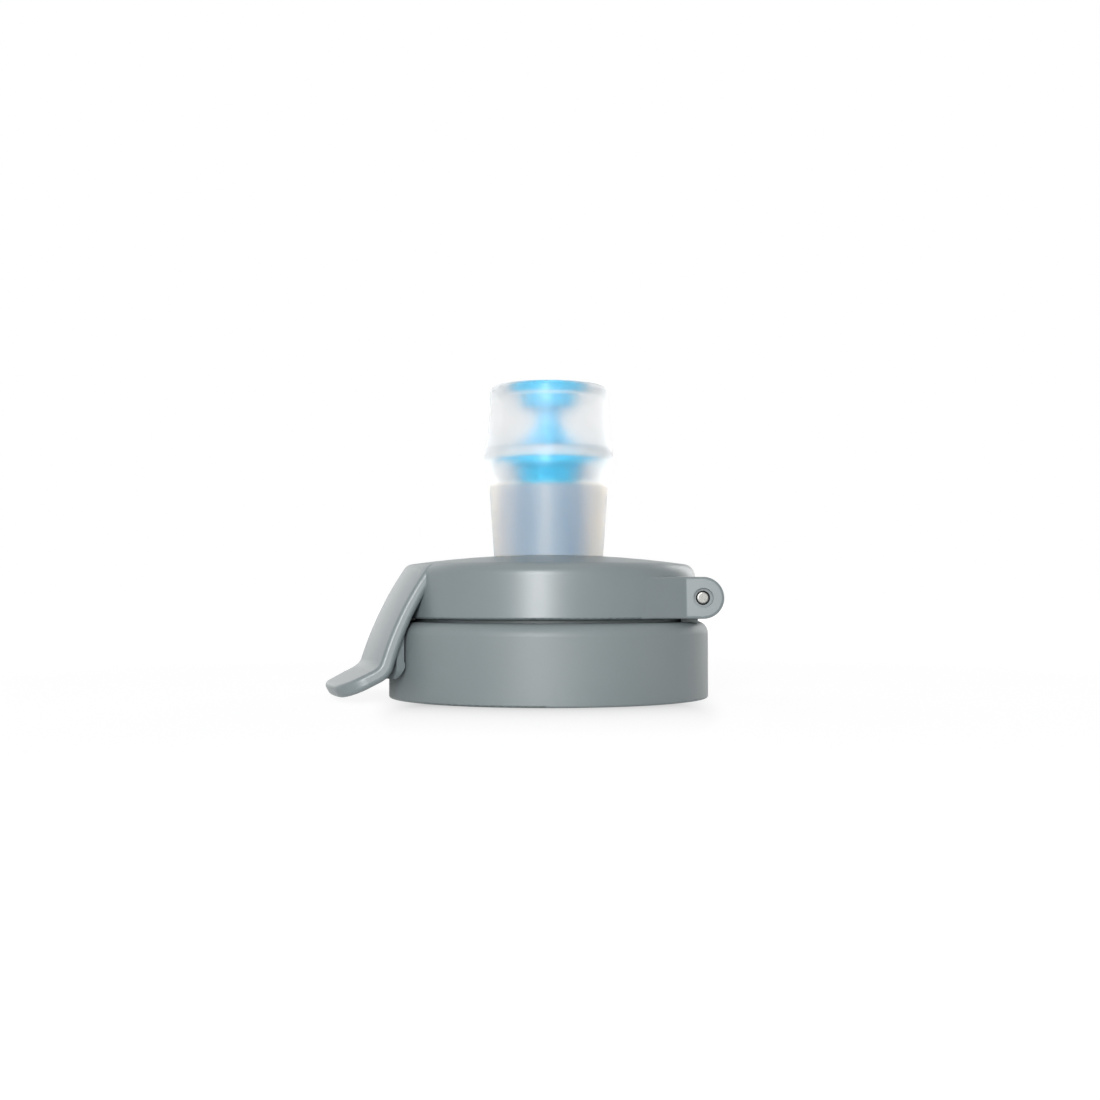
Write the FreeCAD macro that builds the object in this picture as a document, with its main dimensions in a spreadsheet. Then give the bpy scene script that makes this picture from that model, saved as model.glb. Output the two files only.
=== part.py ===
import FreeCAD, Part
import os
import re

import Sketcher

# Soft flask cap: a screw ring for a wide soft neck, a hinged flip lid with a latch arm, and a bite valve.
# Millimetres. The origin is on the ring's axis at its bottom face, +Z up.
# The hinge is at +X, the latch arm and its thumb tab at -X.

SIZES = {
    # Screw ring
    "ring_radius": 23.5,
    "ring_height": 11.15,
    "ring_wall": 2.3,
    "ring_shoulder": 1.7,
    "ring_foot": 0.3,
    "shelf_thick": 2.0,
    "shelf_reach": 6.2,
    # Low rim on the shelf, under the lid's channel, that keeps spills and dust out of the gap
    "rim_clearance": 0.6,
    "rim_width": 0.8,
    "rim_rise": 0.4,
    "mouth_lead": 0.5,
    # Washer between the shelf and the flask's neck
    "gasket_thick": 1.2,
    "gasket_width": 3.0,
    "gasket_step": 0.3,
    "gasket_clearance": 0.1,
    # Lid shell
    "lid_gap": 0.5,
    "lid_inset": 1.6,
    "lid_draft": 0.35,
    "lid_rise": 9.25,
    "lid_shoulder": 1.8,
    "lid_foot": 0.3,
    "lid_wall": 1.6,
    "dome_radius": 145.0,
    "seat_margin": 0.5,
    # Plug skirt that enters the fill mouth, and the seal in its groove
    "skirt_wall": 1.6,
    "skirt_depth": 2.15,
    "skirt_clearance": 0.7,
    "skirt_lead": 0.3,
    "groove_depth": 0.5,
    "seal_height": 1.0,
    "seal_lift": 0.45,
    "seal_clearance": 0.25,
    "seal_round": 0.3,
    # Mouthpiece post
    "post_radius": 5.2,
    "post_wall": 1.0,
    "post_height": 10.65,
    "post_lead": 0.3,
    # Latch arm and thumb tab
    "arm_top_inset": 0.95,
    "arm_top_round": 1.5,
    "arm_bow": 50.0,
    "arm_thick": 1.7,
    "arm_edge": 0.65,
    "arm_half_width": 12.1,
    "arm_flare": 8.6,
    "bend_stand_off": 4.3,
    "bend_height": 5.0,
    "bend_round": 2.0,
    "tab_slope": 28.5,
    "tab_thick": 2.0,
    "tab_length": 4.9,
    "tab_tip_bow": 36.0,
    "tab_corner": 4.5,
    "slot_offset": 1.4,
    "slot_width": 2.0,
    "slot_length": 6.5,
    "slot_round": 0.95,
    # Latch wall behind the arm, its hook, and the catch bead on the ring
    "latch_gap": 0.55,
    "latch_thick": 1.15,
    "latch_half_angle": 33.0,
    "latch_foot": 3.2,
    "latch_toe": 0.35,
    "latch_lead": 1.7,
    "latch_corner": 1.4,
    "hook_depth": 0.15,
    "hook_height": 0.8,
    "bead_depth": 0.35,
    "bead_height": 0.9,
    "bead_gap": 0.3,
    "bead_half_angle": 20.0,
    # Hinge
    "pin_inset": 1.8,
    "pin_radius": 1.0,
    "pin_round": 0.35,
    "pin_hold": 0.01,
    "pin_run": 0.06,
    "pin_recess": 1.0,
    "recess_radius": 1.4,
    "cheek_radius": 2.95,
    "cheek_half_width": 13.0,
    "cheek_run": 2.4,
    "cheek_edge": 0.4,
    "root_wall": 1.45,
    "knuckle_half_width": 7.8,
    "knuckle_inset": 0.25,
    "knuckle_gap": 0.3,
    "notch_clearance": 0.35,
    "web_thick": 2.4,
    # Valve core
    "spigot_length": 4.0,
    "spigot_clearance": 0.05,
    "spigot_bore": 3.0,
    "bowl_step": 0.2,
    "bowl_height": 2.4,
    "flange_reach": 1.0,
    "flange_thick": 0.9,
    "base_height": 4.6,
    "rib_inset": 1.6,
    "rib_thick": 1.1,
    "rib_height": 4.2,
    "rib_edge": 0.5,
    "rib_bow": 6.0,
    "stem_radius": 1.75,
    "plug_inset": 0.9,
    "plug_height": 3.7,
    "plug_foot_round": 1.1,
    "plug_top_round": 0.35,
    # Silicone sheath
    "sheath_fit": 0.05,
    "sheath_wall": 2.9,
    "waist_flare": 0.74,
    "bulge_flare": 1.55,
    "neck_flare": 0.85,
    "top_flare": 0.5,
    "waist_rise": 0.2,
    "bulge_rise": 4.0,
    "neck_rise": 8.2,
    "sheath_rise": 14.65,
    "sheath_round": 0.9,
    "bulge_round": 6.0,
    "waist_round": 15.0,
    "chamber_step": 1.5,
    "lip_height": 1.2,
    "pocket_rise": 1.4,
    "pocket_ramp": 0.4,
    "collar_step": 0.5,
    "collar_height": 0.3,
}

doc = FreeCAD.newDocument("soft_flask_cap")
sheet = doc.addObject("Spreadsheet::Sheet", "Sizes")
for row, (alias, size) in enumerate(SIZES.items(), start=1):
    sheet.set(f"A{row}", alias)
    sheet.set(f"B{row}", str(size))
    sheet.setAlias(f"B{row}", alias)
doc.recompute()

# Heights and radii that several pieces share, as formulas of the sizes.
THREAD_RADIUS = "(ring_radius - ring_wall)"
MOUTH_RADIUS = "(ring_radius - shelf_reach)"
LID_RADIUS = "(ring_radius - lid_inset)"
RIM_RADIUS = f"({LID_RADIUS} - lid_wall - rim_clearance)"
PIN_REACH = "(ring_radius - pin_inset)"
BEND_RADIUS = "(ring_radius + bend_stand_off)"
TAB_REACH = f"({BEND_RADIUS} + tab_length)"
SHEATH_FOOT = "(post_radius + sheath_wall)"
SEAT_RADIUS = f"({SHEATH_FOOT} + seat_margin)"
SHELF_FLOOR = "(ring_height - shelf_thick)"
GASKET_FLOOR = "(ring_height - shelf_thick - gasket_thick)"
LID_FLOOR = "(ring_height + lid_gap)"
LID_TOP_RADIUS = f"({LID_RADIUS} - lid_draft)"
DOME_CENTRE = f"({LID_FLOOR} + lid_rise - dome_radius)"
DOME_EDGE = f"({DOME_CENTRE} + sqrt(dome_radius ^ 2 - {LID_TOP_RADIUS} ^ 2))"
SEAT = f"({DOME_CENTRE} + sqrt(dome_radius ^ 2 - {SEAT_RADIUS} ^ 2))"
POST_TOP = f"({SEAT} + post_height)"
POST_BORE = "(post_radius - post_wall)"
SKIRT_RADIUS = f"({MOUTH_RADIUS} - skirt_clearance)"
SKIRT_FLOOR = f"({LID_FLOOR} - skirt_depth)"
SEAL_FLOOR = f"({SKIRT_FLOOR} + seal_lift)"
GROOVE_RADIUS = f"({SKIRT_RADIUS} - groove_depth)"
PIN_HEIGHT = f"({LID_FLOOR} + cheek_radius)"
BARREL_RADIUS = "(cheek_radius - knuckle_inset)"
NOTCH_RADIUS = f"({BARREL_RADIUS} + notch_clearance)"
PIN_END = "(cheek_half_width - pin_recess)"
LATCH_RADIUS = "(ring_radius + latch_gap)"
HOOK_TOP = "(latch_foot + latch_lead + hook_height)"
BASE_TOP = f"({POST_TOP} + base_height)"
SHEATH_TOP = f"({POST_TOP} + sheath_rise)"
PLUG_RADIUS = "(post_radius - plug_inset)"
PLUG_FOOT = f"({SHEATH_TOP} - plug_height)"

UP = FreeCAD.Vector(0, 0, 1)
DRAFT_COSINE = 0.995

probe = doc.addObject("App::FeaturePython", "Probe")
probe.addProperty("App::PropertyFloat", "Result")


def formula(text):
    """An expression in which each size's plain name stands for its cell."""
    return re.sub(
        r"[a-z_]+",
        lambda word: f"Sizes.{word.group()}" if word.group() in SIZES else word.group(),
        text,
    )


def number(text):
    """What a formula comes to."""
    probe.setExpression("Result", formula(text))
    probe.recompute()
    return probe.Result


def plane(body, role):
    """One of a body's own origin planes."""
    return next(item for item in body.Origin.OriginFeatures if item.Role == role)


def new_body(name):
    """An empty body with its label."""
    body = doc.addObject("PartDesign::Body", name)
    body.Label = name
    return body


def arc_between(start, end, radius):
    """The arc from start to end, its centre to the left of the way, or to the right if radius is negative."""
    chord = end - start
    left = FreeCAD.Vector(-chord.y, chord.x, 0).normalize()
    away = (radius**2 - (chord.Length / 2) ** 2) ** 0.5
    centre = (start + end) / 2 + left * (away if radius > 0 else -away)
    circle = Part.Circle(centre, UP, abs(radius))
    first, last = (start, end) if radius > 0 else (end, start)
    return Part.ArcOfCircle(circle, circle.parameter(first), circle.parameter(last))


def outline(body, name, role, *corners):
    """A closed sketch through corners (x, y) that are pairs of formulas. A third formula is the radius
    of the arc that arrives at that corner, by the rule of arc_between."""
    sketch = body.newObject("Sketcher::SketchObject", name)
    sketch.AttachmentSupport = [(plane(body, role), "")]
    sketch.MapMode = "FlatFace"
    points = [FreeCAD.Vector(number(c[0]), number(c[1]), 0) for c in corners]
    count = len(corners)
    ends = []
    for i in range(count):
        start, end = points[i], points[(i + 1) % count]
        arrival = corners[(i + 1) % count]
        if len(arrival) == 3:
            radius = number(arrival[2])
            sketch.addGeometry(arc_between(start, end, radius))
            ends.append((1, 2) if radius > 0 else (2, 1))
            sized(sketch, "Radius", (i,), f"abs({arrival[2]})")
        else:
            sketch.addGeometry(Part.LineSegment(start, end))
            ends.append((1, 2))
    for i in range(count):
        following = (i + 1) % count
        sketch.addConstraint(
            Sketcher.Constraint("Coincident", i, ends[i][1], following, ends[following][0])
        )
        for kind, axis, place in (("DistanceX", -2, corners[i][0]), ("DistanceY", -1, corners[i][1])):
            if place == "0":
                sketch.addConstraint(Sketcher.Constraint("PointOnObject", i, ends[i][0], axis))
            else:
                sized(sketch, kind, (-1, 1, i, ends[i][0]), place)
    return sketch


def sized(sketch, kind, where, text):
    """A constraint of a sketch whose value follows a formula."""
    index = sketch.addConstraint(Sketcher.Constraint(kind, *where, number(text)))
    sketch.setExpression(f"Constraints[{index}]", formula(text))


def turned(body, name, sketch, angle="360"):
    """A revolution of a sketch about the ring's axis, half of it each side of the sketch."""
    feature = body.newObject("PartDesign::Revolution", name)
    feature.Profile = sketch
    feature.ReferenceAxis = (sketch, ["V_Axis"])
    feature.Midplane = True
    feature.setExpression("Angle", formula(angle))
    doc.recompute()
    return feature


def padded(body, name, sketch, length, both_ways=True):
    """A pad of a sketch, half of it each side of the sketch unless it goes one way."""
    feature = body.newObject("PartDesign::Pad", name)
    feature.Profile = sketch
    feature.SideType = "Symmetric" if both_ways else "One side"
    feature.setExpression("Length", formula(length))
    doc.recompute()
    return feature


def rounded(body, name, radius, chosen):
    """A fillet on the chosen edges of a body as it stands."""
    base = body.Tip
    edges = [f"Edge{i}" for i, edge in enumerate(base.Shape.Edges, start=1) if chosen(edge)]
    feature = body.newObject("PartDesign::Fillet", name)
    feature.Base = (base, edges)
    feature.setExpression("Radius", formula(radius))
    doc.recompute()
    return feature


def circle_at(radius, height):
    """Picks the circular edges of that radius at that height about the ring's axis."""
    wide, high = number(radius), number(height)
    return lambda edge: (
        isinstance(edge.Curve, Part.Circle)
        and abs(edge.Curve.Radius - wide) < 1e-4
        and abs(edge.Curve.Center.z - high) < 1e-4
    )


def crossways(name, radius, half_length):
    """A cylinder along the hinge line."""
    tool = doc.addObject("Part::Cylinder", name)
    tool.Placement.Rotation = FreeCAD.Rotation(FreeCAD.Vector(1, 0, 0), 90)
    tool.setExpression("Radius", formula(radius))
    tool.setExpression("Height", formula(f"2 * {half_length}"))
    tool.setExpression("Placement.Base.x", formula(PIN_REACH))
    tool.setExpression("Placement.Base.y", formula(half_length))
    tool.setExpression("Placement.Base.z", formula(PIN_HEIGHT))
    return tool


def box_tool(name, low_x, high_x, half_width, low_z, high_z):
    """A box that lies evenly across the hinge's middle plane."""
    tool = doc.addObject("Part::Box", name)
    tool.setExpression("Length", formula(f"({high_x}) - ({low_x})"))
    tool.setExpression("Width", formula(f"2 * ({half_width})"))
    tool.setExpression("Height", formula(f"({high_z}) - ({low_z})"))
    tool.setExpression("Placement.Base.x", formula(low_x))
    tool.setExpression("Placement.Base.y", formula(f"-({half_width})"))
    tool.setExpression("Placement.Base.z", formula(low_z))
    return tool


def lay_on_tab(sketch):
    """Tilts a sketch so that its plane is parallel to the thumb tab's slope."""
    tilt = FreeCAD.Rotation(FreeCAD.Vector(0, 1, 0), number("tab_slope"))
    sketch.AttachmentOffset = FreeCAD.Placement(FreeCAD.Vector(), tilt)
    sketch.setExpression("AttachmentOffset.Rotation.Angle", formula("tab_slope"))


def through_tab(edge):
    """Whether an edge runs square through the thumb tab."""
    return runs_along(edge, FreeCAD.Vector(number("sin(tab_slope)"), 0, number("cos(tab_slope)")))


def runs_along(edge, way):
    """Whether an edge is straight and lies along a direction, or within a mould's draft of it."""
    return isinstance(edge.Curve, Part.Line) and abs(edge.Curve.Direction.dot(way)) > DRAFT_COSINE


def softened(name, base, radius, chosen):
    """A fillet of one radius on the chosen edges of an object."""
    size = number(radius)
    result = doc.addObject("Part::Fillet", name)
    result.Base = base
    result.Edges = [(i, size, size) for i, edge in enumerate(base.Shape.Edges, start=1) if chosen(edge)]
    doc.recompute()
    return result


def boolean(kind, name, shapes):
    """A fuse or a common of several objects."""
    result = doc.addObject(kind, name)
    result.Shapes = shapes
    result.Refine = True
    doc.recompute()
    return result


def cut(name, base, tool):
    """One object less another."""
    result = doc.addObject("Part::Cut", name)
    result.Base = base
    result.Tool = tool
    result.Refine = True
    doc.recompute()
    return result


# Screw ring: threaded wall, gasket pocket, shelf with the fill mouth, hinge knuckle and catch bead.
ring = new_body("screw_ring")
ring_outline = outline(
    ring,
    "RingOutline",
    "XZ_Plane",
    (THREAD_RADIUS, "0"),
    ("ring_radius", "0"),
    ("ring_radius", "ring_height"),
    (f"{MOUTH_RADIUS} + mouth_lead", "ring_height"),
    (MOUTH_RADIUS, "ring_height - mouth_lead"),
    (MOUTH_RADIUS, SHELF_FLOOR),
    (f"{THREAD_RADIUS} - gasket_step", SHELF_FLOOR),
    (f"{THREAD_RADIUS} - gasket_step", GASKET_FLOOR),
    (THREAD_RADIUS, GASKET_FLOOR),
)
turned(ring, "RingWall", ring_outline)
rounded(ring, "RingShoulder", "ring_shoulder", circle_at("ring_radius", "ring_height"))
rounded(ring, "RingFoot", "ring_foot", circle_at("ring_radius", "0"))

rim_outline = outline(
    ring,
    "RimOutline",
    "XZ_Plane",
    (f"{RIM_RADIUS} - rim_width", "ring_height - shelf_thick / 4"),
    (RIM_RADIUS, "ring_height - shelf_thick / 4"),
    (RIM_RADIUS, "ring_height + rim_rise"),
    (f"{RIM_RADIUS} - rim_width", "ring_height + rim_rise"),
)
turned(ring, "SpillRim", rim_outline)

web_outline = outline(
    ring,
    "WebOutline",
    "XZ_Plane",
    (f"{PIN_REACH} - {BARREL_RADIUS}", f"{SHELF_FLOOR} + shelf_thick / 4"),
    (f"{PIN_REACH} - {BARREL_RADIUS} + web_thick", f"{SHELF_FLOOR} + shelf_thick / 4"),
    (f"{PIN_REACH} - {BARREL_RADIUS} + web_thick", PIN_HEIGHT),
    (f"{PIN_REACH} - {BARREL_RADIUS}", PIN_HEIGHT),
)
padded(ring, "KnuckleWeb", web_outline, "2 * knuckle_half_width")


def circle_sketch(body, name, x, y, radius):
    """A sketch of one circle in the plane across the hinge."""
    sketch = body.newObject("Sketcher::SketchObject", name)
    sketch.AttachmentSupport = [(plane(body, "XZ_Plane"), "")]
    sketch.MapMode = "FlatFace"
    centre = FreeCAD.Vector(number(x), number(y), 0)
    sketch.addGeometry(Part.Circle(centre, UP, number(radius)))
    sized(sketch, "DistanceX", (-1, 1, 0, 3), x)
    sized(sketch, "DistanceY", (-1, 1, 0, 3), y)
    sized(sketch, "Radius", (0,), radius)
    return sketch


barrel = circle_sketch(ring, "BarrelOutline", PIN_REACH, PIN_HEIGHT, BARREL_RADIUS)
padded(ring, "KnuckleBarrel", barrel, "2 * knuckle_half_width")
pin_bore = circle_sketch(ring, "PinBoreOutline", PIN_REACH, PIN_HEIGHT, "pin_radius + pin_run")
bore = ring.newObject("PartDesign::Pocket", "PinBore")
bore.Profile = pin_bore
bore.SideType = "Symmetric"
bore.setExpression("Length", formula("4 * knuckle_half_width"))
doc.recompute()

bead_outline = outline(
    ring,
    "BeadOutline",
    "XZ_Plane",
    ("-(ring_radius - ring_wall / 2)", f"{HOOK_TOP} + bead_gap"),
    ("-(ring_radius - ring_wall / 2)", f"{HOOK_TOP} + bead_gap + bead_height"),
    ("-ring_radius", f"{HOOK_TOP} + bead_gap + bead_height"),
    ("-(ring_radius + bead_depth)", f"{HOOK_TOP} + bead_gap + bead_height / 2"),
    ("-(ring_radius + bead_depth)", f"{HOOK_TOP} + bead_gap + bead_height / 4"),
    ("-ring_radius", f"{HOOK_TOP} + bead_gap"),
)
turned(ring, "CatchBead", bead_outline, "2 * bead_half_angle")

# Washer held under the shelf.
gasket = new_body("neck_gasket")
GASKET_RADIUS = f"({THREAD_RADIUS} - gasket_step - gasket_clearance)"
gasket_outline = outline(
    gasket,
    "GasketOutline",
    "XZ_Plane",
    (f"{GASKET_RADIUS} - gasket_width", GASKET_FLOOR),
    (GASKET_RADIUS, GASKET_FLOOR),
    (GASKET_RADIUS, SHELF_FLOOR),
    (f"{GASKET_RADIUS} - gasket_width", SHELF_FLOOR),
)
turned(gasket, "GasketRing", gasket_outline)

# Lid shell, one turned outline: plug skirt with its groove, side wall, dome, valve seat and post.
shell = new_body("LidShell")
shell_outline = outline(
    shell,
    "ShellOutline",
    "XZ_Plane",
    ("0", SKIRT_FLOOR),
    (f"{SKIRT_RADIUS} - skirt_lead", SKIRT_FLOOR),
    (SKIRT_RADIUS, f"{SKIRT_FLOOR} + skirt_lead"),
    (SKIRT_RADIUS, SEAL_FLOOR),
    (GROOVE_RADIUS, SEAL_FLOOR),
    (GROOVE_RADIUS, f"{SEAL_FLOOR} + seal_height"),
    (SKIRT_RADIUS, f"{SEAL_FLOOR} + seal_height"),
    (SKIRT_RADIUS, LID_FLOOR),
    (LID_RADIUS, LID_FLOOR),
    (LID_TOP_RADIUS, DOME_EDGE),
    (SEAT_RADIUS, SEAT, "dome_radius"),
    ("post_radius", SEAT),
    ("post_radius", f"{POST_TOP} - post_lead"),
    ("post_radius - post_lead", POST_TOP),
    ("0", POST_TOP),
)
turned(shell, "ShellTurned", shell_outline)
rounded(shell, "ShellShoulder", "lid_shoulder", circle_at(LID_TOP_RADIUS, DOME_EDGE))
rounded(shell, "ShellFoot", "lid_foot", circle_at(LID_RADIUS, LID_FLOOR))

# Hinge block: cheeks as wide as the hinge, their flat sides running on to the lid's round wall at a tangent.
CHEEK_START = f"({PIN_REACH} - cheek_run)"
HINGE_ROOT = f"({PIN_REACH} - {NOTCH_RADIUS} - root_wall)"
CHEEK_SPAN = f"hypot({CHEEK_START}; cheek_half_width)"
CHEEK_AZIMUTH = f"(atan2(cheek_half_width; {CHEEK_START}) + acos({LID_RADIUS} / {CHEEK_SPAN}))"
TANGENT_X = f"{LID_RADIUS} * cos({CHEEK_AZIMUTH})"
TANGENT_Y = f"{LID_RADIUS} * sin({CHEEK_AZIMUTH})"
block = new_body("HingeBlock")
block_plan = outline(
    block,
    "BlockPlan",
    "XY_Plane",
    ("0", "0"),
    (TANGENT_X, f"-{TANGENT_Y}"),
    (CHEEK_START, "-cheek_half_width"),
    (f"{PIN_REACH} + 2 * cheek_radius", "-cheek_half_width"),
    (f"{PIN_REACH} + 2 * cheek_radius", "cheek_half_width"),
    (CHEEK_START, "cheek_half_width"),
    (TANGENT_X, TANGENT_Y),
)
block_plan.setExpression("AttachmentOffset.Base.z", formula(LID_FLOOR))
block_pad = padded(block, "BlockPad", block_plan, "2 * cheek_radius", both_ways=False)
block_pad.setExpression("TaperAngle", formula(f"-atan(lid_draft / ({DOME_EDGE} - {LID_FLOOR}))"))

cheek_end = crossways("CheekEnd", "cheek_radius", "2 * cheek_half_width")
cheek_bar = box_tool(
    "CheekBar", "0", PIN_REACH, "2 * cheek_half_width", LID_FLOOR, f"{LID_FLOOR} + 2 * cheek_radius"
)
cheek_side = boolean("Part::MultiFuse", "CheekSide", [cheek_end, cheek_bar])
cheek_block = boolean("Part::MultiCommon", "CheekBlock", [block, cheek_side])
NOTCH_HALF_WIDTH = "(knuckle_half_width + knuckle_gap)"
cheek_gap = box_tool(
    "CheekGap", HINGE_ROOT, f"2 * {LID_RADIUS}", NOTCH_HALF_WIDTH, "0", f"2 * {PIN_HEIGHT}"
)
cheeks_sharp = cut("CheeksSharp", cheek_block, cheek_gap)


def cheek_rim(edge):
    """The top, bottom and round end of each cheek's side."""
    outside = abs(edge.CenterOfMass.y) > number("cheek_half_width - cheek_edge")
    return outside and not runs_along(edge, UP)


cheeks = softened("Cheeks", cheeks_sharp, "cheek_edge", cheek_rim)

# Latch arm: a band turned about the ring's axis and trimmed by a plan that lies square to the tab's slope.
# It is drawn at +X and turned to -X.
HALF_TURN = FreeCAD.Placement(FreeCAD.Vector(), FreeCAD.Rotation(UP, 180))
ARM_TOP_RADIUS = f"({LID_RADIUS} - arm_top_inset)"
ARM_TOP = f"({DOME_CENTRE} + sqrt(dome_radius ^ 2 - {ARM_TOP_RADIUS} ^ 2))"
ARM_DROP = f"({ARM_TOP} - bend_height)"
ARM_SPREAD = f"({BEND_RADIUS} - {ARM_TOP_RADIUS})"
ARM_LEAN = f"atan({ARM_SPREAD} / {ARM_DROP})"
HALF_BOW = f"asin(hypot({ARM_SPREAD}; {ARM_DROP}) / 2 / arm_bow)"
TOP_LEAN = f"({ARM_LEAN} + {HALF_BOW})"
FOOT_LEAN = f"({ARM_LEAN} - {HALF_BOW})"
ARM_ROOT = f"({LID_RADIUS} - 2 * lid_wall)"
ARM_ROOT_TOP = f"({DOME_CENTRE} + sqrt(dome_radius ^ 2 - {ARM_ROOT} ^ 2))"
TAB_END = f"({TAB_REACH} + 2 * tab_thick)"
TAB_DROP = f"(({TAB_END} - {BEND_RADIUS}) * tan(tab_slope))"
INNER_TOP = f"({ARM_TOP_RADIUS} - arm_thick * cos({TOP_LEAN}))"
INNER_TOP_HEIGHT = f"({ARM_TOP} - arm_thick * sin({TOP_LEAN}))"
INNER_BEND = f"({BEND_RADIUS} - arm_thick * cos({FOOT_LEAN}))"
INNER_BEND_HEIGHT = (
    f"(bend_height - tab_thick / cos(tab_slope) + ({BEND_RADIUS} - {INNER_BEND}) * tan(tab_slope))"
)
band = new_body("ArmBand")
band_outline = outline(
    band,
    "BandOutline",
    "XZ_Plane",
    (ARM_ROOT, ARM_ROOT_TOP),
    (ARM_ROOT, INNER_TOP_HEIGHT),
    (INNER_TOP, INNER_TOP_HEIGHT),
    (INNER_BEND, INNER_BEND_HEIGHT, "-(arm_bow - arm_thick)"),
    (TAB_END, f"bend_height - tab_thick / cos(tab_slope) - {TAB_DROP}"),
    (TAB_END, f"bend_height - {TAB_DROP}"),
    (BEND_RADIUS, "bend_height"),
    (ARM_TOP_RADIUS, ARM_TOP, "arm_bow"),
)
turned(band, "BandTurned", band_outline)
rounded(band, "BandTop", "arm_top_round", circle_at(ARM_TOP_RADIUS, ARM_TOP))
rounded(band, "BandBend", "bend_round", circle_at(BEND_RADIUS, "bend_height"))
rounded(band, "BandInnerBend", "bend_round + arm_thick", circle_at(INNER_BEND, INNER_BEND_HEIGHT))
band.Placement = HALF_TURN

TAB_RISE = f"({BEND_RADIUS} * sin(tab_slope) + bend_height * cos(tab_slope))"
TIP = (
    f"(({TAB_REACH} - arm_edge - ({TAB_RISE} - arm_edge) * sin(tab_slope)) / cos(tab_slope) + arm_edge)"
)
TIP_WIDTH = f"(arm_half_width + {TIP} * tan(arm_flare))"
TIP_SIDE = f"({TIP} - tab_tip_bow + sqrt(tab_tip_bow ^ 2 - {TIP_WIDTH} ^ 2))"
plan = new_body("ArmPlan")
plan_outline = outline(
    plan,
    "PlanOutline",
    "XY_Plane",
    ("0", "-arm_half_width"),
    (TIP_SIDE, f"-{TIP_WIDTH}"),
    (TIP_SIDE, TIP_WIDTH, "tab_tip_bow"),
    ("0", "arm_half_width"),
)
lay_on_tab(plan_outline)
padded(plan, "PlanPad", plan_outline, f"2 * {TAB_REACH}", both_ways=False)
rounded(
    plan,
    "PlanCorners",
    "tab_corner",
    lambda edge: through_tab(edge) and abs(edge.CenterOfMass.y) > number("arm_half_width + arm_edge"),
)
plan.Placement = HALF_TURN
arm_sharp = boolean("Part::MultiCommon", "ArmSharp", [band, plan])


def arm_rim(edge):
    """The arm's side edges and the tab's tip, but not the root inside the lid."""
    middle = edge.CenterOfMass
    reach = (middle.x**2 + middle.y**2) ** 0.5
    side = abs(middle.y) > number("arm_half_width / 2") and reach > number(INNER_TOP)
    tip = reach > number(f"{TAB_REACH} - tab_thick")
    return (side or tip) and not through_tab(edge)


arm = softened("Arm", arm_sharp, "arm_edge", arm_rim)

# Slot through the tab for a tether loop.
slot = new_body("TetherSlot")
SLOT_REACH = f"({BEND_RADIUS} + slot_offset)"
SLOT_MIDDLE = f"(({SLOT_REACH} - {TAB_RISE} * sin(tab_slope)) / cos(tab_slope))"
slot_outline = outline(
    slot,
    "SlotOutline",
    "XY_Plane",
    (f"{SLOT_MIDDLE} - slot_width / 2", "-slot_length / 2"),
    (f"{SLOT_MIDDLE} + slot_width / 2", "-slot_length / 2"),
    (f"{SLOT_MIDDLE} + slot_width / 2", "slot_length / 2"),
    (f"{SLOT_MIDDLE} - slot_width / 2", "slot_length / 2"),
)
lay_on_tab(slot_outline)
padded(slot, "SlotPad", slot_outline, f"2 * {TAB_REACH}", both_ways=False)
rounded(slot, "SlotEnds", "slot_round", through_tab)
slot.Placement = HALF_TURN

# Latch wall that hangs behind the arm, close to the ring, with its hook and a lead-in below it.
latch = new_body("LatchWall")
latch_outline = outline(
    latch,
    "LatchOutline",
    "XZ_Plane",
    (LATCH_RADIUS, "ring_height"),
    (LATCH_RADIUS, HOOK_TOP),
    (f"{LATCH_RADIUS} - hook_depth", f"{HOOK_TOP} - hook_height / 3"),
    (f"{LATCH_RADIUS} - hook_depth", "latch_foot + latch_lead"),
    (f"{LATCH_RADIUS} + latch_thick - latch_toe", "latch_foot"),
    (f"{LATCH_RADIUS} + latch_thick", "latch_foot"),
    (f"{LATCH_RADIUS} + latch_thick", "ring_height"),
)
turned(latch, "LatchTurned", latch_outline, "2 * latch_half_angle")
rounded(
    latch,
    "LatchCorners",
    "latch_corner",
    lambda edge: isinstance(edge.Curve, Part.Line)
    and edge.BoundBox.ZLength < 1e-4
    and edge.CenterOfMass.z < number("latch_foot + latch_toe"),
)
latch.Placement = HALF_TURN

# Hollows of the lid: the bowl inside the skirt with the post's bore, and the channel outside the skirt.
INNER_DOME = "(dome_radius - lid_wall)"
BOWL_RADIUS = f"({SKIRT_RADIUS} - skirt_wall)"
CHANNEL_EDGE = f"({LID_TOP_RADIUS} - 2 * lid_wall)"
bowl = new_body("LidBowl")
bowl_outline = outline(
    bowl,
    "BowlOutline",
    "XZ_Plane",
    ("0", f"{SKIRT_FLOOR} - lid_wall"),
    (BOWL_RADIUS, f"{SKIRT_FLOOR} - lid_wall"),
    (BOWL_RADIUS, f"{DOME_CENTRE} + sqrt({INNER_DOME} ^ 2 - {BOWL_RADIUS} ^ 2)"),
    (POST_BORE, f"{DOME_CENTRE} + sqrt({INNER_DOME} ^ 2 - {POST_BORE} ^ 2)", INNER_DOME),
    (POST_BORE, f"{POST_TOP} + post_wall"),
    ("0", f"{POST_TOP} + post_wall"),
)
turned(bowl, "BowlTurned", bowl_outline)

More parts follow.
